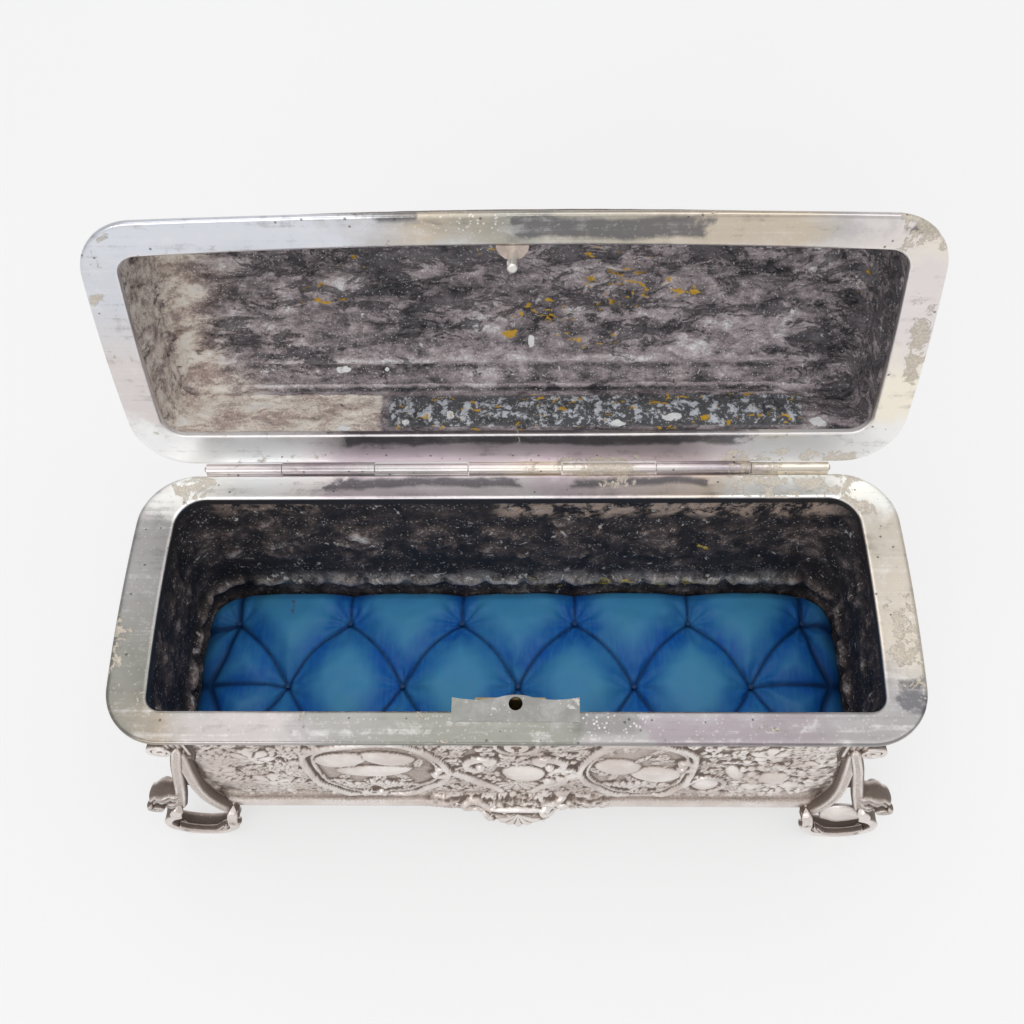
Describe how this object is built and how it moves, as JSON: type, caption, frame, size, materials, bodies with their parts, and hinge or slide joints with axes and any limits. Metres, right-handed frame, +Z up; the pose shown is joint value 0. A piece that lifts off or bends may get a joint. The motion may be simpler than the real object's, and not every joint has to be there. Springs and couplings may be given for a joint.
{
  "type": "hinged jewel casket",
  "caption": "Silver-plated jewel casket on openwork scroll feet, shown open: cast relief body, polished rims, hinged domed lid with a stud for the lock, tufted blue satin lining.",
  "frame": {"origin": "on the table, under the middle of the open casket's bounding box", "axes": "+X along the casket to its right end, +Y from the front with the lock towards the hinge, +Z up"},
  "size_m": [0.2284, 0.1326, 0.166],
  "materials": {
    "rim_plate": "polished silver plate, worn and tarnished",
    "cast_plate": "cast relief, aged silver plate with dark patina",
    "lock_metal": "dull plated metal",
    "satin": "blue satin, tufted",
    "thread": "matt thread",
    "board": "plain card board",
    "spring_metal": "blued spring leaf",
    "bottom_metal": "rolled sheet, dull"
  },
  "bodies": {
    "casket": {"body_shell": "cast_plate", "floor_plate": "bottom_metal", "base_rim": "rim_plate", "base_knuckles": "rim_plate", "hinge_pin": "lock_metal", "foot_front_right": "cast_plate", "foot_front_left": "cast_plate", "foot_back_right": "cast_plate", "foot_back_left": "cast_plate", "front_apron": "cast_plate", "back_apron": "cast_plate", "lock_plate": "lock_metal", "lock_case": "lock_metal", "lock_spring": "spring_metal", "keyhole_plate": "cast_plate", "pad_board": "board", "cushion": "satin", "tuft_knots": "thread"},
    "lid": {"lid_shell": "cast_plate", "lid_rim": "rim_plate", "lid_knuckles": "rim_plate", "stud_lug": "cast_plate", "lid_stud": "lock_metal"},
    "bolt": {"lock_bolt": "lock_metal"}
  },
  "joints": [
    {"name": "lid_hinge", "type": "hinge", "parent": "casket", "child": "lid", "pos_m": [0, 0.02238, 0.086], "axis": [1, 0, 0], "range_deg": [0, 107.8]},
    {"name": "lock_slide", "type": "slide", "parent": "casket", "child": "bolt", "axis": [1, 0, 0], "range_m": [0, 0.0029]}
  ]
}
